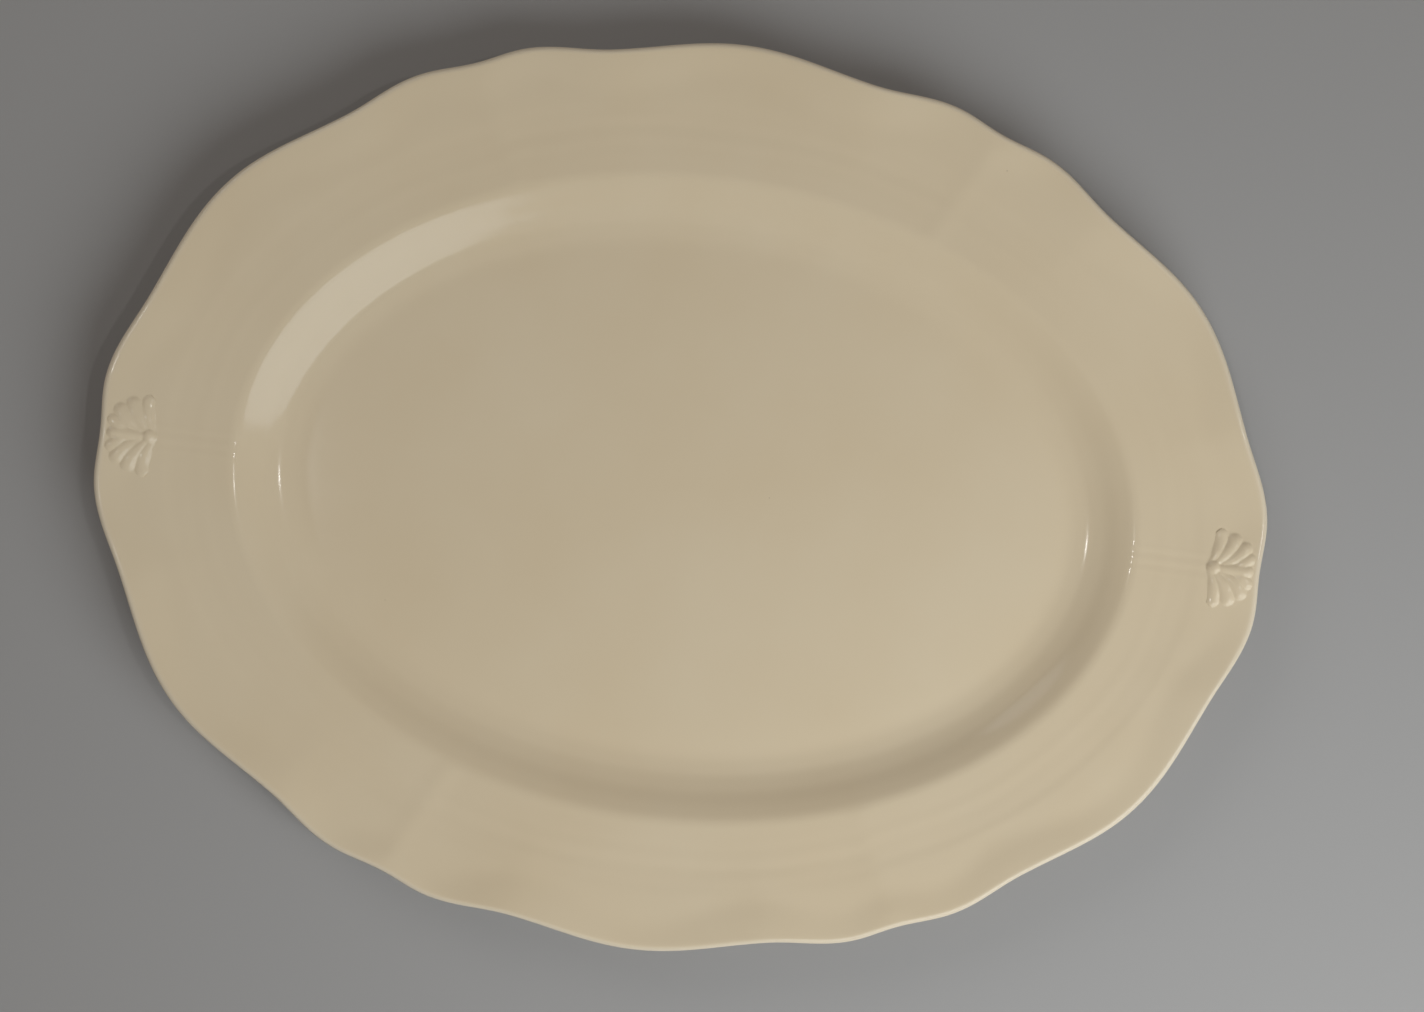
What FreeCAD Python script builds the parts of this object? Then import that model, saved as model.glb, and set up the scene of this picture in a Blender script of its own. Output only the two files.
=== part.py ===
import FreeCAD, Part
import math
import os

# Oval serving platter in glazed china. Millimetres.
# Origin: middle of the platter on the plane that it stands on.
# +X along the long axis, +Z up out of the well.

# Driving dimensions: alias, value, what it is.
SIZES = [
    ("oval_length", 405.2, "mean oval that the scallops swing about, long axis"),
    ("oval_width", 312.8, "mean oval, short axis"),
    ("rim_width", 41.5, "from the lip in to the top of the wall, in plan"),
    ("wall_width", 26.5, "from the top of the wall in to the flat floor, in plan"),
    ("wall_angle", 30.0, "steepest slope of the wall, degrees"),
    ("floor_fillet", 30.0, "face radius from the floor up into the wall"),
    ("shoulder_radius", 12.0, "face radius from the wall over on to the rim"),
    ("rim_angle", 5.0, "slope of the rim where it leaves the wall, degrees"),
    ("rim_rise", 7.2, "inner edge of the rim up to the lip"),
    ("edge_wave", 0.6, "how far the deepest valley of the edge lifts"),
    ("body_thickness", 4.6, "clay under the floor, the wall and the inner rim"),
    ("lip_thickness", 3.2, "clay where the lip starts to round"),
    ("foot_level", 3.4, "clay base above the table"),
    ("foot_thickness", 6.0, "foot ring, across"),
    ("foot_rounding", 1.4, "lower edges of the foot ring"),
    ("glaze_thickness", 0.3, "glass skin"),
    ("bare_clay", 0.5, "unglazed gap on each side of the foot ring"),
    ("heart_inset", 18.5, "from the lip in to the heart that a shell's ribs spring from"),
    ("heart_size", 2.2, "radius of the heart"),
    ("rib_length", 13.0, "heart to the tip of a shell's middle rib"),
    ("rib_growth", 1.3, "how much longer each rib is than its inner neighbour"),
    ("rib_turn", 19.0, "angle between neighbouring ribs, degrees"),
    ("rib_bulge", 1.5, "how far a rib's tip stands out past the notches beside it"),
    ("shell_height", 1.3, "shell above the clay face"),
]

# One quarter of the scalloped edge: angle round the oval from the long axis in degrees, and
# the edge's height over the mean oval in hundredths of the radius. Crests and valleys take
# turns, and the other three quarters mirror this one.
SCALLOPS = [
    (0.0, -0.1),
    (7.0, 0.7),
    (18.5, -1.05),
    (35.0, 1.05),
    (48.5, -1.0),
    (57.5, 0.87),
    (63.2, -0.05),
    (68.5, 0.85),
    (77.0, -1.35),
    (90.0, 1.0),
]

RING_POINTS = 144
FILLET_STEPS = 5
SHOULDER_STEPS = 3
RIM_STEPS = 9
LIP_STEPS = 6
RIBS_EACH_SIDE = 3

os.makedirs("parts", exist_ok=True)
doc = FreeCAD.newDocument("serving_platter")

# ---- Spreadsheet ----------------------------------------------------------------------

sheet = doc.addObject("Spreadsheet::Sheet", "sizes")
for row, (alias, value, meaning) in enumerate(SIZES, start=1):
    sheet.set("A%d" % row, alias)
    sheet.set("B%d" % row, str(value))
    sheet.set("C%d" % row, meaning)
    sheet.setAlias("B%d" % row, alias)
doc.recompute()


def size(alias):
    """A driving dimension from the sheet."""
    return float(sheet.get(alias))


# ---- The scalloped edge ---------------------------------------------------------------


def ease(share):
    """Smooth step from 0 to 1."""
    return (1.0 - math.cos(math.pi * share)) / 2.0


def scallop(angle):
    """Height of the edge over the mean oval, as a fraction of the radius."""
    turned = abs(math.remainder(math.degrees(angle), 180.0))
    for (start, low), (end, high) in zip(SCALLOPS, SCALLOPS[1:]):
        if turned <= end:
            return (low + (high - low) * ease((turned - start) / (end - start))) / 100.0
    return SCALLOPS[-1][1] / 100.0


DEEPEST_VALLEY = min(height for angle, height in SCALLOPS) / 100.0

# ---- The section of the clay, from the floor's edge out to the lip ---------------------
#
# A station is (place, level, slope): millimetres outwards from the floor's edge, level of
# the clay face, and the face's slope there in radians.

rim_width = size("rim_width")
wall_width = size("wall_width")
rim_angle = math.radians(size("rim_angle"))
floor_level = size("foot_level") + size("body_thickness")


def arc(centre, level, radius, start, end, steps):
    """Stations along an arc whose slope goes from start to end. A hump's radius is negative."""
    slopes = [start + (end - start) * step / steps for step in range(steps + 1)]
    return [(centre + radius * math.sin(slope), level - radius * math.cos(slope), slope)
            for slope in slopes]


def wall_stations():
    """Fillet out of the floor, straight wall, and shoulder on to the rim."""
    wall_angle = math.radians(size("wall_angle"))
    fillet = size("floor_fillet")
    shoulder = size("shoulder_radius")
    lower = arc(0.0, floor_level + fillet, fillet, 0.0, wall_angle, FILLET_STEPS)
    start = wall_width - shoulder * (math.sin(wall_angle) - math.sin(rim_angle))
    start_level = lower[-1][1] + (start - lower[-1][0]) * math.tan(wall_angle)
    centre = start + shoulder * math.sin(wall_angle)
    centre_level = start_level - shoulder * math.cos(wall_angle)
    upper = arc(centre, centre_level, -shoulder, wall_angle, rim_angle, SHOULDER_STEPS)
    return lower + upper


wall = wall_stations()


def rim_station(run):
    """The rim's face at a distance outwards from the wall. It steepens towards the lip."""
    flare = size("rim_rise") - math.tan(rim_angle) * rim_width
    level = wall[-1][1] + math.tan(rim_angle) * run + flare * (run / rim_width) ** 2
    slope = math.tan(rim_angle) + 2.0 * flare * run / rim_width ** 2
    return (wall_width + run, level, math.atan(slope))


lip_radius = size("lip_thickness") / 2.0
lip_run = rim_width - lip_radius * (1.0 + math.sin(rim_station(rim_width)[2]))
face = wall + [rim_station(lip_run * step / RIM_STEPS) for step in range(1, RIM_STEPS + 1)]


def moved(place, level, direction, distance):
    """A point of the section moved along a direction, with that direction kept as normal."""
    return (place + distance * math.cos(direction), level + distance * math.sin(direction),
            direction)


def clay_section():
    """Outline of the clay: over the face, round the lip and back under to the base.

    Each entry is (place, level, direction of the outward normal).
    """
    over = [moved(place, level, math.pi / 2.0 + slope, 0.0) for place, level, slope in face]
    last_place, last_level, last_direction = over[-1]
    centre = moved(last_place, last_level, last_direction, -lip_radius)
    lip = [moved(centre[0], centre[1], last_direction - math.pi * step / LIP_STEPS, lip_radius)
           for step in range(1, LIP_STEPS)]
    under = []
    for place, level, slope in reversed(face):
        share = max(0.0, place - wall_width) / lip_run
        thick = size("body_thickness") + share * (size("lip_thickness") - size("body_thickness"))
        under.append(moved(place, level, slope - math.pi / 2.0, thick))
    return over + lip + under


def ring(place, level):
    """Closed curve round the platter through one point of the section."""
    inset = rim_width + wall_width - place
    follow = max(0.0, 1.0 - inset / rim_width) ** 1.5
    points = []
    for step in range(RING_POINTS):
        angle = 2.0 * math.pi * step / RING_POINTS
        reach = 1.0 + scallop(angle) * follow
        lift = size("edge_wave") * scallop(angle) / DEEPEST_VALLEY * follow
        points.append(FreeCAD.Vector((size("oval_length") / 2.0 - inset) * reach * math.cos(angle),
                                     (size("oval_width") / 2.0 - inset) * reach * math.sin(angle),
                                     level + lift))
    curve = Part.BSplineCurve()
    curve.interpolate(Points=points, PeriodicFlag=True)
    return Part.Wire(curve.toShape())


def loft(name, section):
    """Solid through the rings of a section. Its first and last rings are flat and capped."""
    rings = []
    for number, (place, level, direction) in enumerate(section, start=1):
        station = doc.addObject("Part::Feature", "%s_ring_%02d" % (name, number))
        station.Shape = ring(place, level)
        rings.append(station)
    solid = doc.addObject("Part::Loft", name)
    solid.Sections = rings
    solid.Solid = True
    solid.Ruled = True
    return solid


def skin(name, section, thickness):
    """Solid of even thickness that lies on the clay along a section."""
    outside = [moved(place, level, direction, thickness) for place, level, direction in section]
    return loft(name, outside + section[::-1])


# ---- Clay body ------------------------------------------------------------------------

clay = clay_section()
clay_body = loft("clay_body", clay)

# ---- Foot ring ------------------------------------------------------------------------


def oval_disc(name, inset, thickness):
    """Flat oval plate standing on the table plane. Inset and thickness are expressions."""
    outline = doc.addObject("Part::Ellipse", name + "_outline")
    outline.setExpression("MajorRadius", "sizes.oval_length / 2 - (%s)" % inset)
    outline.setExpression("MinorRadius", "sizes.oval_width / 2 - (%s)" % inset)
    disc = doc.addObject("Part::Extrusion", name)
    disc.Base = outline
    disc.Dir = FreeCAD.Vector(0, 0, 1)
    disc.DirMode = "Custom"
    disc.Solid = True
    disc.setExpression("LengthFwd", thickness)
    return disc


GLAZE_STOP = "sizes.rim_width + sizes.wall_width"
foot_outside = oval_disc("foot_outside", GLAZE_STOP + " + sizes.bare_clay",
                         "sizes.foot_level")
foot_inside = oval_disc("foot_inside", GLAZE_STOP + " + sizes.bare_clay + sizes.foot_thickness",
                        "sizes.foot_level")
foot_blank = doc.addObject("Part::Cut", "foot_blank")
foot_blank.Base = foot_outside
foot_blank.Tool = foot_inside
doc.recompute()
foot_ring = doc.addObject("Part::Fillet", "foot_ring")
foot_ring.Base = foot_blank
foot_ring.Edges = [(number, size("foot_rounding"), size("foot_rounding"))
                   for number, edge in enumerate(foot_blank.Shape.Edges, start=1)
                   if edge.BoundBox.ZMax < 0.001]

# ---- End shells -----------------------------------------------------------------------


def fan_outline(side):
    """Outline of a shell in plan: a heart with rounded ribs spreading towards the lip."""
    heart_x = size("oval_length") / 2.0 - size("heart_inset")

    def place(reach, turn):
        return FreeCAD.Vector(side * (heart_x + reach * math.cos(turn)), reach * math.sin(turn), 0)

    step = math.radians(size("rib_turn"))
    edges = []
    for number in range(-RIBS_EACH_SIDE, RIBS_EACH_SIDE + 1):
        reach = size("rib_length") + size("rib_growth") * abs(number)
        before = size("rib_length") + size("rib_growth") * abs(number - 0.5) - size("rib_bulge")
        after = size("rib_length") + size("rib_growth") * abs(number + 0.5) - size("rib_bulge")
        start = place(before, (number - 0.5) * step)
        end = place(after, (number + 0.5) * step)
        edges.append(Part.Arc(start, place(reach, number * step), end).toShape())
    back = place(-size("heart_size"), 0.0)
    last_turn = (RIBS_EACH_SIDE + 0.5) * step
    left_shoulder = place(size("heart_size"), last_turn + math.pi / 6.0)
    right_shoulder = place(size("heart_size"), -last_turn - math.pi / 6.0)
    edges.append(Part.makeLine(end, left_shoulder))
    edges.append(Part.Arc(left_shoulder, back, right_shoulder).toShape())
    edges.append(Part.makeLine(right_shoulder, edges[0].Vertexes[0].Point))
    return Part.Wire(edges)


def fan(name, side):
    """Upright block over a shell's outline, tall enough to pass through the rim's face."""
    outline = doc.addObject("Part::Feature", name + "_outline")
    outline.Shape = fan_outline(side)
    block = doc.addObject("Part::Extrusion", name)
    block.Base = outline
    block.Dir = FreeCAD.Vector(0, 0, 1)
    block.DirMode = "Custom"
    block.Solid = True
    block.setExpression("LengthFwd", "sizes.foot_level + sizes.rim_rise * 5")
    return block


relief = skin("relief", clay[:len(face)], size("shell_height"))
shells = []
for side, word in ((-1, "left"), (1, "right")):
    shell = doc.addObject("Part::Common", word + "_end_shell")
    shell.Base = relief
    shell.Tool = fan(word + "_fan", side)
    shells.append(shell)

# ---- Glaze ----------------------------------------------------------------------------

over_edge = len(face) + LIP_STEPS // 2
plain_face_glaze = skin("plain_face_glaze", clay[:over_edge], size("glaze_thickness"))
face_glaze = plain_face_glaze
for shell in shells:
    opened = doc.addObject("Part::Cut", "face_glaze_less_" + shell.Name)
    opened.Base = face_glaze
    opened.Tool = shell.Tool
    face_glaze = opened

whole_back_glaze = skin("whole_back_glaze", clay[:over_edge - 2:-1], size("glaze_thickness"))
back_glaze = doc.addObject("Part::Cut", "back_glaze")
back_glaze.Base = whole_back_glaze
back_glaze.Tool = oval_disc("glaze_stop", GLAZE_STOP + " + sizes.bare_clay / 2",
                            "sizes.foot_level")

base_glaze = oval_disc("base_glaze",
                       GLAZE_STOP + " + sizes.foot_thickness + 2 * sizes.bare_clay",
                       "sizes.glaze_thickness")
base_glaze.Base.setExpression("Placement.Base.z", "sizes.foot_level - sizes.glaze_thickness")

# ---- Checks and files -----------------------------------------------------------------

doc.recompute()
nodes = {
    "clay_body": clay_body,
    "foot_ring": foot_ring,
    "left_end_shell": shells[0],
    "right_end_shell": shells[1],
    "face_glaze": face_glaze,
    "back_glaze": back_glaze,
    "base_glaze": base_glaze,
}
for item in doc.Objects:
    if "Invalid" in item.State or "Error" in item.State:
        raise RuntimeError("%s did not recompute" % item.Name)
for name, piece in nodes.items():
    piece.Label = name
    if piece.Shape.isNull() or not piece.Shape.isValid():
        raise RuntimeError("%s has no valid shape" % name)
    piece.Shape.exportStep("parts/%s.step" % name)
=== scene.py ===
import math

import bpy
import numpy as np
from mathutils import Matrix, Vector


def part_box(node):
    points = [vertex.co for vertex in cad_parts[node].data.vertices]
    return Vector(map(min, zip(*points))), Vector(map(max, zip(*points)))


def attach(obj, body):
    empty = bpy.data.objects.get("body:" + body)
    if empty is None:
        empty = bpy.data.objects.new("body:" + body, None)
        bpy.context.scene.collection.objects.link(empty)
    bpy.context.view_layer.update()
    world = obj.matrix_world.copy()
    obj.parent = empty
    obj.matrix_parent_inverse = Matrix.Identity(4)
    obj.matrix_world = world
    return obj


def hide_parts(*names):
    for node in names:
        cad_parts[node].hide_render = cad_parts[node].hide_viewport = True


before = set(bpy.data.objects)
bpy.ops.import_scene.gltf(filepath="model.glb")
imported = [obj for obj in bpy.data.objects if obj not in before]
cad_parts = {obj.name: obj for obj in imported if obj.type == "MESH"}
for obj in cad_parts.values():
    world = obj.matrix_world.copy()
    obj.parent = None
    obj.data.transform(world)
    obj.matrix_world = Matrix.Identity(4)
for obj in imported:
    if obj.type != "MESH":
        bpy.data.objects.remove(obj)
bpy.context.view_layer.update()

# An oval serving platter in ivory-glazed china: the scalloped clay body with its moulded
# rim, a bare foot ring, a moulded shell at each end, the glaze over face and back, and the
# glazed panel inside the foot.

MM = 0.001

# ---- Section, as in the CAD design ------------------------------------------------------

RIM_WIDTH = 41.5 * MM
WALL_WIDTH = 26.5 * MM
WALL_ANGLE = math.radians(30.0)
FLOOR_FILLET = 30.0 * MM
SHOULDER_RADIUS = 12.0 * MM
RIM_ANGLE = math.radians(5.0)
RIM_RISE = 7.2 * MM
EDGE_WAVE = 0.6 * MM
BODY_THICKNESS = 4.6 * MM
LIP_THICKNESS = 3.2 * MM
GLAZE = 0.3 * MM
BARE_CLAY = 0.5 * MM
FOOT_THICKNESS = 6.0 * MM
FOOT_ROUNDING = 1.4 * MM

foot_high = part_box("foot_ring")[1]
FLOOR_INSET = RIM_WIDTH + WALL_WIDTH
HALF_LENGTH = foot_high.x + FLOOR_INSET + BARE_CLAY
HALF_WIDTH = foot_high.y + FLOOR_INSET + BARE_CLAY
BASE_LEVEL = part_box("clay_body")[0].z
FLOOR_LEVEL = BASE_LEVEL + BODY_THICKNESS

# One quarter of the scalloped edge: angle round the oval from the long axis in degrees, and
# the edge's height over the mean oval in hundredths of the radius.
SCALLOPS = [
    (0.0, -0.1),
    (7.0, 0.7),
    (18.5, -1.05),
    (35.0, 1.05),
    (48.5, -1.0),
    (57.5, 0.87),
    (63.2, -0.05),
    (68.5, 0.85),
    (77.0, -1.35),
    (90.0, 1.0),
]

# ---- Moulded relief of the face ---------------------------------------------------------

FLARE_LINE = 11.5 * MM          # from the lip in to where the edge turns up
FLARE_DIP = 3.0 * MM            # how far that line dips inwards below a valley of the edge
FLARE_DEPTH = 0.28 * MM
FLARE_SPREAD = 5.5 * MM
GROOVE_INSET = 26.0 * MM
GROOVE_DEPTH = 0.12 * MM
GROOVE_SPREAD = 4.0 * MM
RIPPLE_HEIGHT = 0.035 * MM
RIPPLE_PITCH = 6.6 * MM
RIPPLE_SHIFT = 2.1              # phase between the end panels and the side panels, radians
RIPPLE_FOLLOW = 0.5             # how far the ripples follow the lobes, radians per lobe unit
WALL_RIPPLE_HEIGHT = 0.04 * MM
WALL_RIPPLE_INSET = 49.0 * MM   # a crest of the wall's ripples
UNEVENNESS = 0.06 * MM          # slow waves round the rim, as a pressed and fired body has
CREASE_ANGLE = 63.2             # degrees from the long axis, in each quarter
CREASE_HEIGHT = 0.26 * MM
CREASE_WIDTH = 3.6 * MM
VALLEY_ANGLES = (18.5, 48.5, 77.0)
VALLEY_HEIGHT = 0.12 * MM
VALLEY_WIDTH = 6.0 * MM
REED_HEIGHT = 0.035 * MM
REED_PITCH = 4.2 * MM
REED_REACH = 6.3 * MM
FLOOR_SAG = 0.35 * MM
FLOOR_SWELL = 0.05 * MM

# ---- How finely the surfaces are drawn --------------------------------------------------

COLUMNS = 704                   # round the face and the lip
END_CROWDING = 0.45             # how much closer the columns stand at the two ends
FILLET_ROWS = 15
WALL_ROWS = 5
SHOULDER_ROWS = 12
RIM_ROWS = 42
LIP_ROWS = 12

# ---- Small helpers ----------------------------------------------------------------------


def fade(value, start, end):
    """Smooth step from 0 at start to 1 at end."""
    share = np.clip((value - start) / (end - start), 0.0, 1.0)
    return share * share * (3.0 - 2.0 * share)


def hump(distance, width):
    """Bell of height 1."""
    return np.exp(-(distance / width) ** 2)


def scallop(angle):
    """Height of the edge over the mean oval, as a fraction of the radius."""
    turned = np.abs((np.degrees(angle) + 90.0) % 180.0 - 90.0)
    angles, heights = np.array(SCALLOPS).T
    piece = np.clip(np.searchsorted(angles, turned, side="right") - 1, 0, len(angles) - 2)
    share = (turned - angles[piece]) / (angles[piece + 1] - angles[piece])
    eased = (1.0 - np.cos(np.pi * share)) / 2.0
    return (heights[piece] + (heights[piece + 1] - heights[piece]) * eased) / 100.0


DEEPEST_VALLEY = min(height for angle, height in SCALLOPS) / 100.0


def column_angles(count):
    """Angles round the oval, closer together at the two ends, where the relief is finest."""
    even = np.arange(count) * 2.0 * np.pi / count
    return even - END_CROWDING / 2.0 * np.sin(2.0 * even)


# ---- Section of the clay ----------------------------------------------------------------
#
# A station is (place, level, slope): distance outwards from the floor's edge, level of the
# clay face, and the face's slope there.


def arc(centre, level, radius, start, end, steps):
    """Stations along an arc. A negative radius bends the other way."""
    slopes = np.linspace(start, end, steps + 1)
    return [(centre + radius * math.sin(slope), level - radius * math.cos(slope), slope)
            for slope in slopes]


def wall_stations(density):
    """Fillet at the floor, straight wall and shoulder under the rim."""
    lower = arc(0.0, FLOOR_LEVEL + FLOOR_FILLET, FLOOR_FILLET, 0.0, WALL_ANGLE,
                int(FILLET_ROWS * density))
    start = WALL_WIDTH - SHOULDER_RADIUS * (math.sin(WALL_ANGLE) - math.sin(RIM_ANGLE))
    run = start - lower[-1][0]
    start_level = lower[-1][1] + run * math.tan(WALL_ANGLE)
    rows = int(WALL_ROWS * density)
    straight = [(lower[-1][0] + run * step / rows,
                 lower[-1][1] + run * math.tan(WALL_ANGLE) * step / rows, WALL_ANGLE)
                for step in range(1, rows)]
    upper = arc(start + SHOULDER_RADIUS * math.sin(WALL_ANGLE),
                start_level - SHOULDER_RADIUS * math.cos(WALL_ANGLE),
                -SHOULDER_RADIUS, WALL_ANGLE, RIM_ANGLE, int(SHOULDER_ROWS * density))
    return lower + straight + upper


WALL_TOP_LEVEL = wall_stations(1.0)[-1][1]
FLARE = RIM_RISE - math.tan(RIM_ANGLE) * RIM_WIDTH


def rim_level(run):
    """Level of the rim's clay face at a distance outwards from the wall."""
    return WALL_TOP_LEVEL + math.tan(RIM_ANGLE) * run + FLARE * (run / RIM_WIDTH) ** 2


def rim_slope(run):
    return math.atan(math.tan(RIM_ANGLE) + 2.0 * FLARE * run / RIM_WIDTH ** 2)


LIP_RADIUS = LIP_THICKNESS / 2.0
LIP_RUN = RIM_WIDTH - LIP_RADIUS * (1.0 + math.sin(rim_slope(RIM_WIDTH)))


def face_stations(density):
    rows = int(RIM_ROWS * density)
    runs = [LIP_RUN * step / rows for step in range(1, rows + 1)]
    return wall_stations(density) + [(WALL_WIDTH + run, rim_level(run), rim_slope(run))
                                     for run in runs]


def clay_section(face_density, back_density):
    """Outline of the clay from the floor's edge over the lip to the base's edge.

    Rows of (place, level, direction of the outward normal, how much relief the row takes).
    """
    face = [(place, level, math.pi / 2.0 + slope, 1.0)
            for place, level, slope in face_stations(face_density)]
    place, level, direction = face[-1][:3]
    middle = (place - LIP_RADIUS * math.cos(direction), level - LIP_RADIUS * math.sin(direction))
    rows = int(LIP_ROWS * face_density)
    lip = []
    for step in range(1, rows):
        turned = direction - math.pi * step / rows
        lip.append((middle[0] + LIP_RADIUS * math.cos(turned),
                    middle[1] + LIP_RADIUS * math.sin(turned),
                    turned, max(0.0, 1.0 - 2.0 * step / rows)))
    back = []
    for place, level, slope in reversed(face_stations(back_density)):
        share = max(0.0, place - WALL_WIDTH) / LIP_RUN
        thick = BODY_THICKNESS + share * (LIP_THICKNESS - BODY_THICKNESS)
        down = slope - math.pi / 2.0
        back.append((place + thick * math.cos(down), level + thick * math.sin(down), down, 0.0))
    return np.array(face), np.array(lip), np.array(back)


# ---- Relief -----------------------------------------------------------------------------


def from_line(inset, angle, line_degrees):
    """Distance along the rim from a line across it that repeats in each quarter."""
    turned = np.abs((np.degrees(angle) + 90.0) % 180.0 - 90.0)
    speed = np.hypot((HALF_LENGTH - inset) * math.sin(math.radians(line_degrees)),
                     (HALF_WIDTH - inset) * math.cos(math.radians(line_degrees)))
    return np.radians(turned - line_degrees) * speed


def broad_relief(inset, angle):
    """Swells and grooves that run round the rim."""
    lobe = scallop(angle) * 100.0
    line = FLARE_LINE - FLARE_DIP * lobe
    height = -FLARE_DEPTH * hump(inset - line, FLARE_SPREAD)
    rim = fade(inset, 16 * MM, 22 * MM) * (1.0 - fade(inset, 34 * MM, 40 * MM))
    side_panel = fade(from_line(inset, angle, CREASE_ANGLE), -2.0 * MM, 2.0 * MM)
    phase = RIPPLE_SHIFT * side_panel - RIPPLE_FOLLOW * lobe
    height += rim * RIPPLE_HEIGHT * np.cos(2.0 * np.pi * inset / RIPPLE_PITCH + phase)
    height -= GROOVE_DEPTH * hump(inset - GROOVE_INSET, GROOVE_SPREAD)
    wall = fade(inset, 43 * MM, 46 * MM) * (1.0 - fade(inset, 60 * MM, 66 * MM))
    turns = (inset - WALL_RIPPLE_INSET) / RIPPLE_PITCH
    height += wall * WALL_RIPPLE_HEIGHT * np.cos(2.0 * np.pi * turns)
    waves = np.sin(3.0 * angle + 0.7) + np.sin(5.0 * angle + 2.1 + inset / (9 * MM))
    taken = fade(inset, 2 * MM, 12 * MM) * (1.0 - fade(inset, 55 * MM, 66 * MM))
    return height + UNEVENNESS * waves * taken


def fine_relief(inset, angle):
    """Raised creases across the rim and the reeds at its two ends."""
    rim = fade(inset, 1.5 * MM, 6 * MM) * (1.0 - fade(inset, 40 * MM, 45 * MM))
    crease = from_line(inset, angle, CREASE_ANGLE)
    height = CREASE_HEIGHT * hump(crease, CREASE_WIDTH) * rim
    outer = fade(inset, 1.5 * MM, 6 * MM) * (1.0 - fade(inset, 20 * MM, 36 * MM))
    for valley in VALLEY_ANGLES:
        swell = hump(from_line(inset, angle, valley), VALLEY_WIDTH)
        height = height + VALLEY_HEIGHT * swell * outer
    across = from_line(inset, angle, 0.0)
    stem = fade(inset, 15 * MM, 19 * MM) * (1.0 - fade(inset, 43 * MM, 48 * MM))
    band = 1.0 - fade(across, REED_REACH * 0.75, REED_REACH)
    return height + REED_HEIGHT * np.cos(2.0 * np.pi * across / REED_PITCH) * band * stem


def around(inset, angle, level):
    """Points round the platter at an inset from the lip, following the scalloped edge."""
    follow = np.maximum(0.0, 1.0 - inset / RIM_WIDTH) ** 1.5
    wave = scallop(angle)
    reach = 1.0 + wave * follow
    return np.stack([(HALF_LENGTH - inset) * reach * np.cos(angle),
                     (HALF_WIDTH - inset) * reach * np.sin(angle),
                     level + EDGE_WAVE * wave / DEEPEST_VALLEY * follow], axis=1)


def ring(row, angle, offset=0.0, fine=True):
    """Points round the platter through one row of the section, offset along its normal."""
    place, level, direction, weight = row
    inset = FLOOR_INSET - place
    lift = np.full(angle.shape, offset)
    if weight > 0.0:
        lift = lift + weight * broad_relief(inset, angle)
        if fine:
            lift = lift + weight * fine_relief(inset, angle)
    inset = inset - lift * math.cos(direction)
    return around(inset, angle, level + lift * math.sin(direction))


def disc_ring(share, angle, level, sag, inset=FLOOR_INSET):
    """Ring of a flat oval floor at a share of its radius, sagging towards its middle."""
    x = (HALF_LENGTH - inset) * share * np.cos(angle)
    y = (HALF_WIDTH - inset) * share * np.sin(angle)
    swell = FLOOR_SWELL * np.sin(x / (31 * MM) + 0.6) * np.cos(y / (27 * MM) - 0.4)
    rest = (1.0 - share ** 2) ** 2
    return np.stack([x, y, level - (sag - swell) * rest], axis=1)


# ---- Mesh building ----------------------------------------------------------------------


class Rings:
    """A surface made of closed rings of points, one after another."""

    def __init__(self):
        self.points = []
        self.faces = []
        self.count = 0
        self.first = None
        self.last = None

    def add(self, points):
        ids = np.arange(self.count, self.count + len(points))
        self.points.append(points)
        self.count += len(points)
        if self.last is not None:
            self.join(self.last, ids)
        self.last = ids

    def join(self, before, after):
        """Faces between two rings. One may have twice the other's points."""
        if len(before) == len(after):
            for here, there in zip(range(len(before)), np.roll(range(len(before)), -1)):
                self.faces.append((before[here], after[here], after[there], before[there]))
            return
        turn = len(before) < len(after)
        wide = after if turn else before
        slim = before if turn else after
        for number in range(len(slim)):
            following = (number + 1) % len(slim)
            start, middle, end = wide[2 * number], wide[2 * number + 1], wide[2 * following]
            pair = [(start, slim[number], middle),
                    (middle, slim[number], slim[following], end)]
            self.faces += [face[::-1] if turn else face for face in pair]

    def close(self, centre, first):
        """Fan from a ring to its centre: the first ring of a surface or its last."""
        ids = self.first if first else self.last
        self.points.append(np.array([centre]))
        for here, there in zip(ids, np.roll(ids, -1)):
            self.faces.append((self.count, here, there) if first else (here, self.count, there))
        self.count += 1

    def begin(self, points):
        self.last = None
        self.add(points)
        self.first = self.last

    def mesh(self, name):
        mesh = bpy.data.meshes.new(name)
        points = np.concatenate(self.points)
        mesh.from_pydata(points.tolist(), [], [tuple(int(i) for i in face) for face in self.faces])
        mesh.polygons.foreach_set("use_smooth", [True] * len(mesh.polygons))
        mesh.update()
        return mesh


FLOOR_GAP = 0.012               # last ring of the floor to its edge, as a share of the radius
FLOOR_STEP = 0.03               # closest that two rings stand
FLOOR_HALVING = 0.035           # where a ring's points crowd closer than this, every other goes
INNERMOST = 0.02
FEWEST_POINTS = 50


def floor_shares(columns, edge_gap):
    """Shares of the radius and point counts for a floor's rings, from the middle outwards."""
    shares = [(1.0 - edge_gap, columns)]
    share = shares[0][0]
    count = columns
    while share > 3.0 * INNERMOST:
        step = 2.2 * np.pi * share / count
        if step < FLOOR_HALVING and count > FEWEST_POINTS:
            count //= 2
        share -= max(step, FLOOR_STEP)
        shares.append((max(share, INNERMOST), count))
    return shares[::-1]


def add_floor(rings, level, sag, columns, outwards):
    """The flat oval floor, from its middle out to just short of its edge, or back again."""
    steps = floor_shares(columns, FLOOR_GAP)
    if not outwards:
        steps = steps[::-1]
    for number, (share, count) in enumerate(steps):
        points = disc_ring(share, column_angles(count), level, sag)
        if outwards and number == 0:
            rings.begin(points)
            rings.close((0.0, 0.0, points[0][2]), True)
        else:
            rings.add(points)
    if not outwards:
        rings.close((0.0, 0.0, points[0][2]), False)


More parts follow.
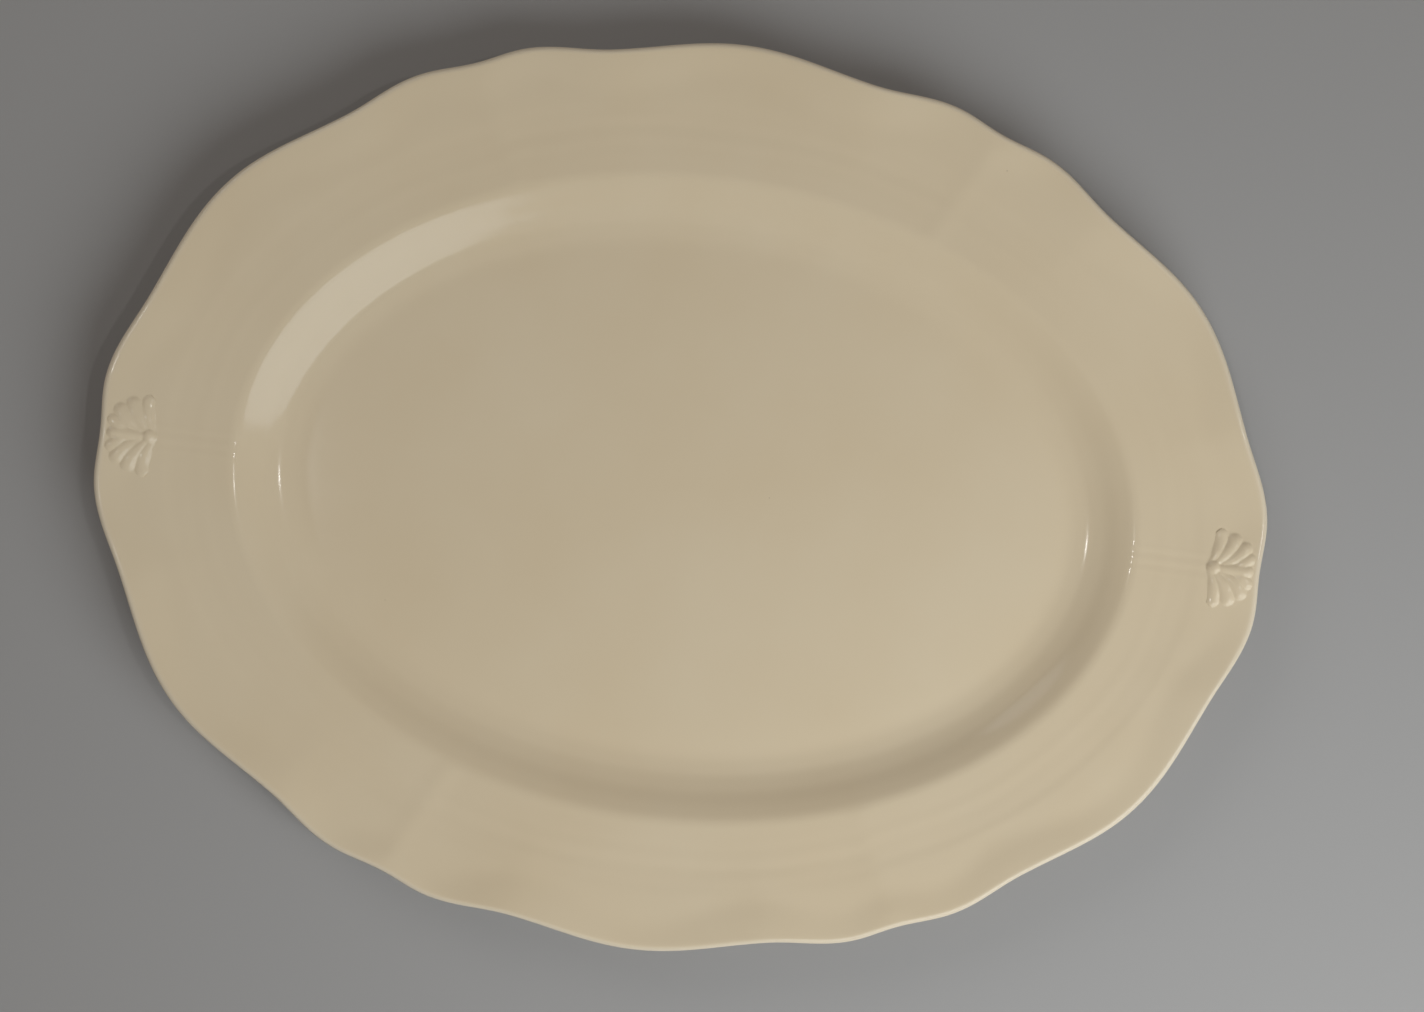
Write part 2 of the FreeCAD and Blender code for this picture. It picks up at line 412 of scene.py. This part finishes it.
def make_piece(name, mesh, material, slot, *nodes):
    piece = bpy.data.objects.new(name, mesh)
    bpy.context.scene.collection.objects.link(piece)
    mesh.materials.append(material)
    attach(piece, "root")
    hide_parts(*nodes)
    return piece


# ---- Pieces -----------------------------------------------------------------------------

BACK_DENSITY = 0.4              # rows on hidden faces, against those on the glazed face
INNER_COLUMNS = COLUMNS // 2
FOOT_COLUMNS = 480
FOOT_EDGE_STEPS = 8
FOOT_WEAR = 0.04                # unevenness of the foot's rounded edges, as a share of height
PANEL_GAP = 0.02
PANEL_EDGE_POINTS = 7


def clay_mesh():
    """The clay from the floor's middle over the lip to the back, closed by its flat base."""
    rings = Rings()
    face, lip, back = clay_section(BACK_DENSITY, BACK_DENSITY)
    angle = column_angles(INNER_COLUMNS)
    add_floor(rings, FLOOR_LEVEL, FLOOR_SAG, INNER_COLUMNS, True)
    for row in np.concatenate([face, lip, back]):
        rings.add(ring(row, angle, 0.0, False))
    add_floor(rings, BASE_LEVEL, 0.0, INNER_COLUMNS, False)
    return rings.mesh("clay_body_surface")


def glaze_mesh():
    """One skin of glass over the face, round the lip and down the back to the foot."""
    rings = Rings()
    face, lip, back = clay_section(1.0, BACK_DENSITY)
    angle = column_angles(COLUMNS)
    add_floor(rings, FLOOR_LEVEL + GLAZE, FLOOR_SAG, COLUMNS, True)
    for row in np.concatenate([face, lip]):
        rings.add(ring(row, angle, GLAZE))
    angle = column_angles(INNER_COLUMNS)
    for row in back:
        rings.add(ring(row, angle, GLAZE))
    face, lip, back = clay_section(BACK_DENSITY, BACK_DENSITY)
    for row in np.concatenate([face, lip, back])[::-1]:
        rings.add(ring(row, angle, 0.0, False))
    add_floor(rings, FLOOR_LEVEL, FLOOR_SAG, INNER_COLUMNS, False)
    return rings.mesh("glaze_surface")


def foot_mesh():
    """The ground foot ring: upright sides and rounded lower edges."""
    rings = Rings()
    inset = FLOOR_INSET + BARE_CLAY
    angle = column_angles(FOOT_COLUMNS)
    profile = []
    for step in range(FOOT_EDGE_STEPS + 1):
        turn = math.pi / 2.0 * step / FOOT_EDGE_STEPS
        profile.append((FOOT_ROUNDING * (1.0 - math.cos(turn)),
                        FOOT_ROUNDING * (1.0 - math.sin(turn))))
    inner = [(FOOT_THICKNESS - across, level) for across, level in reversed(profile)]
    outline = [(0.0, BASE_LEVEL)] + profile + [(FOOT_THICKNESS / 2.0, 0.0)] + inner
    outline.append((FOOT_THICKNESS, BASE_LEVEL))
    worn = 1.0 + FOOT_WEAR * np.sin(7.0 * angle + 0.4) * np.sin(3.0 * angle)
    first = True
    for across, level in outline:
        x = (HALF_LENGTH - inset - across) * np.cos(angle)
        y = (HALF_WIDTH - inset - across) * np.sin(angle)
        height = np.minimum(level * worn, BASE_LEVEL)
        points = np.stack([x, y, height], axis=1)
        if first:
            rings.begin(points)
            first = False
        else:
            rings.add(points)
    rings.join(rings.last, rings.first)
    return rings.mesh("foot_ring_surface")


def base_glaze_mesh():
    """The glazed panel inside the foot, with a rounded edge where the glaze stops."""
    rings = Rings()
    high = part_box("base_glaze")[1]
    edge_inset = HALF_LENGTH - high.x

    def panel_ring(share, count, level):
        return disc_ring(share, column_angles(count), level, 0.0, edge_inset)

    steps = floor_shares(INNER_COLUMNS, PANEL_GAP)
    for number, (share, count) in enumerate(steps):
        points = panel_ring(share, count, BASE_LEVEL)
        if number == 0:
            rings.begin(points)
            rings.close((0.0, 0.0, BASE_LEVEL), True)
        else:
            rings.add(points)
    half = GLAZE / 2.0
    for turn in np.linspace(math.pi / 2.0, -math.pi / 2.0, PANEL_EDGE_POINTS):
        share = 1.0 - half / high.y * (1.0 - math.cos(turn))
        rings.add(panel_ring(share, INNER_COLUMNS, BASE_LEVEL - half + half * math.sin(turn)))
    for share, count in steps[::-1]:
        rings.add(panel_ring(share, count, BASE_LEVEL - GLAZE))
    rings.close((0.0, 0.0, BASE_LEVEL - GLAZE), False)
    return rings.mesh("base_glaze_surface")


# ---- End shells -------------------------------------------------------------------------
#
# Each rib: where it leaves the midrib (inset from the lip, distance to the side), the angle
# it leaves at and the angle it ends at, both from the long axis in degrees, its length, its
# half width and its height. Millimetres. The side ribs stand on both sides of the midrib.

MIDRIB = (16.0, 0.0, 0.0, 0.0, 11.4, 2.2, 0.80)
SIDE_RIBS = [
    (9.2, 1.4, 18.0, 44.0, 5.8, 2.1, 0.62),
    (12.6, 1.6, 32.0, 60.0, 9.0, 2.4, 0.76),
    (15.2, 1.8, 46.0, 74.0, 10.2, 2.4, 0.76),
    (17.0, 2.0, 64.0, 90.0, 10.4, 2.1, 0.62),
]
SHELL_MIDDLE = 10.6             # inset of the point that the shell's mesh spreads from
SHELL_REACH = 15.8              # how far that mesh spreads along the rim
SHELL_ACROSS = 0.62             # its spread across the rim, as a share of that
SHELL_LIP_GAP = 2.4             # nearest that it comes to the lip
SHELL_BED = 0.05                # depth of the shell's skirt in the glaze
SHELL_SPOKES = 320
SHELL_ROWS = 44
BODY_HEIGHT = 0.50              # low swelling under the ribs
RIDGE_SHARE = 0.85              # how much of the ribs' own height stands over it


def rib_path(rib):
    """Points along a rib, and the share of its length at each."""
    inset, side, start, end, length = rib[:5]
    share = np.linspace(0.0, 1.0, 60)
    turn = np.radians(start + (end - start) * share)
    step = length / (len(share) - 1)
    along = inset - np.concatenate([[0.0], np.cumsum(np.cos(turn[:-1])) * step])
    across = side + np.concatenate([[0.0], np.cumsum(np.sin(turn[:-1])) * step])
    return along, across, share


def rib_height(rib, inset, side):
    """Height of one rib over the rim at points given in millimetres."""
    along, across, share = rib_path(rib)
    gap = np.hypot(inset[..., None] - along, side[..., None] - across)
    nearest = gap.argmin(axis=-1)
    distance = np.take_along_axis(gap, nearest[..., None], axis=-1)[..., 0]
    part = share[nearest]
    width = rib[5] * (0.55 + 0.45 * fade(part, 0.0, 0.6))
    height = rib[6] * (0.45 + 0.55 * fade(part, 0.0, 0.5))
    crown = 1.0 - (distance / width) ** 2
    return height * np.maximum(crown, 0.0)


def shell_height(inset, side):
    """Height of the whole shell over the rim, in millimetres."""
    ribs = [MIDRIB] + SIDE_RIBS
    heights = [rib_height(rib, inset, np.abs(side)) for rib in ribs]
    knob = np.maximum(0.0, 1.0 - ((inset - 16.2) / 2.4) ** 2 - (side / 2.6) ** 2) ** 0.8
    ridges = sum(height ** 3 for height in heights + [knob]) ** (1.0 / 3.0)
    body = BODY_HEIGHT * (1.0 - fade(np.hypot((inset - 10.4) / 8.6, side / 14.0), 0.50, 1.0))
    return body + RIDGE_SHARE * ridges


def rim_face(inset, angle):
    """Points of the glazed rim's face."""
    run = RIM_WIDTH - inset
    level = rim_level(run) + GLAZE + broad_relief(inset, angle) + fine_relief(inset, angle)
    return around(inset, angle, level)


def shell_mesh(name, facing):
    """Closed skin of one end shell. Facing is 1 at the right end and -1 at the left."""
    rings = Rings()
    turn = np.arange(SHELL_SPOKES) * 2.0 * np.pi / SHELL_SPOKES
    if facing < 0:
        turn = -turn

    def place(share, bed):
        across = share * SHELL_REACH * SHELL_ACROSS * np.cos(turn)
        inset = np.maximum(SHELL_MIDDLE - across, SHELL_LIP_GAP)
        side = share * SHELL_REACH * np.sin(turn)
        angle = np.arcsin(side * MM / (HALF_WIDTH - inset * MM))
        if facing < 0:
            angle = np.pi - angle
        points = rim_face(inset * MM, angle)
        if bed:
            points[:, 2] -= 3.0 * SHELL_BED * MM
        else:
            height = shell_height(inset, side)
            points[:, 2] += np.where(height > 0.0, height, -SHELL_BED) * MM
        return points

    shares = np.linspace(1.0 / SHELL_ROWS, 1.0, SHELL_ROWS)
    for number, share in enumerate(shares):
        points = place(share, False)
        if number == 0:
            rings.begin(points)
            rings.close(points.mean(axis=0), True)
        else:
            rings.add(points)
    for share in (1.0, 0.5, 0.1):
        rings.add(place(share, True))
    rings.close(place(0.0, True)[0], False)
    return rings.mesh(name)


# ---- Materials --------------------------------------------------------------------------


def new_material(name):
    material = bpy.data.materials.new(name)
    material.use_nodes = True
    tree = material.node_tree
    return material, tree, tree.nodes["Principled BSDF"]


def node(tree, kind, **values):
    made = tree.nodes.new(kind)
    for key, value in values.items():
        setattr(made, key, value)
    return made


def noise(tree, coordinates, scale, detail=2.0, roughness=0.5):
    made = node(tree, "ShaderNodeTexNoise")
    made.inputs["Scale"].default_value = scale
    made.inputs["Detail"].default_value = detail
    made.inputs["Roughness"].default_value = roughness
    tree.links.new(coordinates, made.inputs["Vector"])
    return made.outputs["Fac"]


def ramp(tree, factor, stops):
    """Colour ramp between two stops."""
    made = node(tree, "ShaderNodeValToRGB")
    elements = made.color_ramp.elements
    for element, (position, colour) in zip(elements, stops):
        element.position = position
        element.color = (*colour, 1.0)
    tree.links.new(factor, made.inputs["Fac"])
    return made.outputs["Color"]


def mix_colours(tree, factor, first, second):
    made = node(tree, "ShaderNodeMix", data_type="RGBA")
    sockets = (made.inputs[0], made.inputs[6], made.inputs[7])
    for value, socket in zip((factor, first, second), sockets):
        if isinstance(value, bpy.types.NodeSocket):
            tree.links.new(value, socket)
        elif isinstance(value, tuple):
            socket.default_value = (*value, 1.0)
        else:
            socket.default_value = value
    return made.outputs[2]


def remap(tree, value, low, high, out_low, out_high):
    made = node(tree, "ShaderNodeMapRange")
    made.inputs["From Min"].default_value = low
    made.inputs["From Max"].default_value = high
    made.inputs["To Min"].default_value = out_low
    made.inputs["To Max"].default_value = out_high
    tree.links.new(value, made.inputs["Value"])
    return made.outputs["Result"]


def bump(tree, height, distance, below=None):
    made = node(tree, "ShaderNodeBump")
    made.inputs["Distance"].default_value = distance
    made.inputs["Strength"].default_value = 1.0
    tree.links.new(height, made.inputs["Height"])
    if below is not None:
        tree.links.new(below, made.inputs["Normal"])
    return made.outputs["Normal"]


IVORY = (0.78, 0.637, 0.443)
IVORY_DEEP = (0.755, 0.605, 0.408)
IVORY_PALE = (0.84, 0.735, 0.59)
PINHOLE = (0.45, 0.33, 0.20)
BISCUIT = (0.80, 0.74, 0.64)
BISCUIT_DARK = (0.70, 0.62, 0.50)
BARE_FOOT = (0.74, 0.67, 0.56)
BARE_FOOT_DARK = (0.50, 0.43, 0.34)


def glaze_material():
    """Warm ivory glass: faint clouding, pale thin glaze on the lip, a few pinholes."""
    material, tree, shader = new_material("ivory_glaze")
    at = node(tree, "ShaderNodeTexCoord").outputs["Object"]
    cloud = noise(tree, at, 14.0, 3.0, 0.55)
    colour = ramp(tree, cloud, [(0.3, IVORY_DEEP), (0.7, IVORY)])
    lip = node(tree, "ShaderNodeAttribute", attribute_name="thin_glaze").outputs["Fac"]
    colour = mix_colours(tree, lip, colour, IVORY_PALE)
    specks = node(tree, "ShaderNodeTexVoronoi")
    specks.inputs["Scale"].default_value = 140.0
    tree.links.new(at, specks.inputs["Vector"])
    near = remap(tree, specks.outputs["Distance"], 0.025, 0.05, 1.0, 0.0)
    rare = remap(tree, noise(tree, at, 60.0), 0.64, 0.70, 0.0, 0.5)
    both = node(tree, "ShaderNodeMath", operation="MULTIPLY")
    tree.links.new(near, both.inputs[0])
    tree.links.new(rare, both.inputs[1])
    colour = mix_colours(tree, both.outputs[0], colour, PINHOLE)
    tree.links.new(colour, shader.inputs["Base Color"])
    wear = noise(tree, at, 32.0, 4.0, 0.6)
    tree.links.new(remap(tree, wear, 0.3, 0.7, 0.09, 0.14), shader.inputs["Roughness"])
    swell = noise(tree, at, 55.0, 1.0)
    peel = noise(tree, at, 420.0, 2.0)
    normal = bump(tree, swell, 0.00006)
    tree.links.new(bump(tree, peel, 0.000006, normal), shader.inputs["Normal"])
    shader.inputs["IOR"].default_value = 1.5
    shader.inputs["Specular IOR Level"].default_value = 0.2
    return material


def clay_material(name, colour, dark, grain):
    """Unglazed fired clay: grainy, dull, darker in patches."""
    material, tree, shader = new_material(name)
    at = node(tree, "ShaderNodeTexCoord").outputs["Object"]
    patches = noise(tree, at, 90.0, 5.0, 0.65)
    base = ramp(tree, patches, [(0.35, dark), (0.65, colour)])
    dots = noise(tree, at, grain, 3.0, 0.7)
    base = mix_colours(tree, remap(tree, dots, 0.60, 0.75, 0.0, 0.45), base, dark)
    tree.links.new(base, shader.inputs["Base Color"])
    tree.links.new(remap(tree, dots, 0.3, 0.7, 0.75, 0.95), shader.inputs["Roughness"])
    tree.links.new(bump(tree, dots, 0.0001), shader.inputs["Normal"])
    shader.inputs["Specular IOR Level"].default_value = 0.25
    return material


# ---- Camera -----------------------------------------------------------------------------

LENS = 44.1
CAMERA_DISTANCE = 0.598         # from the point it looks at
CAMERA_ROLL = math.radians(7.17)
AIM_RIGHT = 7.0 * MM            # the point it looks at, from the platter's middle
AIM_UP = -0.6 * MM
AIM_LEVEL = 30.0 * MM
TILT_RIGHT = -0.050             # how far it leans from straight above, as a sine
TILT_UP = 0.054


def place_camera():
    """Above the platter, nearly square to it, with the long axis turned clockwise."""
    data = bpy.data.cameras.new("camera")
    data.lens = LENS
    camera = bpy.data.objects.new("camera", data)
    bpy.context.scene.collection.objects.link(camera)
    right = Vector((math.cos(CAMERA_ROLL), math.sin(CAMERA_ROLL), 0.0))
    up = Vector((-math.sin(CAMERA_ROLL), math.cos(CAMERA_ROLL), 0.0))
    aim = right * AIM_RIGHT + up * AIM_UP + Vector((0.0, 0.0, AIM_LEVEL))
    back = right * TILT_RIGHT + up * TILT_UP
    back.z = math.sqrt(1.0 - back.length_squared)
    side = up.cross(back).normalized()
    axes = Matrix((side, back.cross(side), back)).transposed()
    camera.matrix_world = Matrix.Translation(aim + back * CAMERA_DISTANCE) @ axes.to_4x4()
    bpy.context.scene.camera = camera


# ---- Studio -----------------------------------------------------------------------------


def area_light(name, place, size, power, colour):
    """Round light that faces the platter's middle."""
    data = bpy.data.lights.new(name, "AREA")
    data.shape = "DISK"
    data.size = size
    data.energy = power
    data.color = colour
    lamp = bpy.data.objects.new(name, data)
    bpy.context.scene.collection.objects.link(lamp)
    lamp.location = place
    lamp.rotation_euler = (-Vector(place)).to_track_quat("-Z", "Y").to_euler()


# Each light: name, place, diameter, power, colour. All of them face the platter's middle.
WHITE = (1.0, 1.0, 1.0)
LIGHTS = [
    ("soft_light", (0.46, -0.44, 0.58), 0.72, 5.5, (0.88, 0.95, 1.0)),
    ("left_lamp", (-0.60, -0.11, 2.0), 0.08, 2.0, WHITE),
    ("right_lamp", (0.84, 0.06, 2.0), 0.08, 2.0, WHITE),
    ("wall_fill", (-1.45, 1.45, 1.45), 1.2, 9.0, WHITE),
]
SURROUNDINGS = (1.0, 0.93, 0.84, 1.0)
SURROUNDINGS_STRENGTH = 0.09
FLOOR_COLOUR = (0.38, 0.36, 0.345, 1.0)
FLOOR_REACH = 12.0


def make_studio():
    """Plain floor, dim warm surroundings, a near soft light, a far fill and two small lamps."""
    world = bpy.data.worlds.new("studio")
    bpy.context.scene.world = world
    world.use_nodes = True
    background = world.node_tree.nodes["Background"]
    background.inputs["Color"].default_value = SURROUNDINGS
    background.inputs["Strength"].default_value = SURROUNDINGS_STRENGTH
    for light in LIGHTS:
        area_light(*light)
    mesh = bpy.data.meshes.new("studio_floor")
    corners = [(-FLOOR_REACH, -FLOOR_REACH, 0.0), (FLOOR_REACH, -FLOOR_REACH, 0.0),
               (FLOOR_REACH, FLOOR_REACH, 0.0), (-FLOOR_REACH, FLOOR_REACH, 0.0)]
    mesh.from_pydata(corners, [], [(0, 1, 2, 3)])
    floor = bpy.data.objects.new("studio_floor", mesh)
    bpy.context.scene.collection.objects.link(floor)
    material, _, shader = new_material("studio_floor")
    shader.inputs["Base Color"].default_value = FLOOR_COLOUR
    shader.inputs["Roughness"].default_value = 0.9
    mesh.materials.append(material)


THIN_GLAZE_SHARE = 0.55         # how far the colour turns pale there
THIN_GLAZE_START = 0.2 * MM
THIN_GLAZE_END = 2.2 * MM


def mark_thin_glaze(mesh):
    """Vertex values that rise where the glaze has run thin, on the round of the lip."""
    points = np.empty(len(mesh.vertices) * 3)
    mesh.vertices.foreach_get("co", points)
    points = points.reshape(-1, 3)
    angle = np.arctan2(points[:, 1] / HALF_WIDTH, points[:, 0] / HALF_LENGTH)
    reach = np.hypot(points[:, 0] / HALF_LENGTH, points[:, 1] / HALF_WIDTH)
    inset = (1.0 + scallop(angle) - reach) * HALF_WIDTH
    values = mesh.attributes.new("thin_glaze", "FLOAT", "POINT")
    thin = 1.0 - fade(inset, THIN_GLAZE_START, THIN_GLAZE_END)
    values.data.foreach_set("value", thin * THIN_GLAZE_SHARE)


# ---- Scene ------------------------------------------------------------------------------

bpy.context.scene.view_settings.view_transform = "Standard"
place_camera()
make_studio()

glaze = glaze_material()
biscuit = clay_material("biscuit_clay", BISCUIT, BISCUIT_DARK, 900.0)
bare = clay_material("bare_foot", BARE_FOOT, BARE_FOOT_DARK, 1100.0)

coat = make_piece("glaze_coat", glaze_mesh(), glaze, "ivory_glaze", "face_glaze", "back_glaze")
mark_thin_glaze(coat.data)
make_piece("clay_body_piece", clay_mesh(), biscuit, "biscuit_clay", "clay_body")
make_piece("foot_ring_piece", foot_mesh(), bare, "bare_foot", "foot_ring")
make_piece("base_glaze_panel", base_glaze_mesh(), glaze, "ivory_glaze", "base_glaze")
make_piece("left_shell", shell_mesh("left_shell", -1), glaze, "ivory_glaze", "left_end_shell")
make_piece("right_shell", shell_mesh("right_shell", 1), glaze, "ivory_glaze", "right_end_shell")
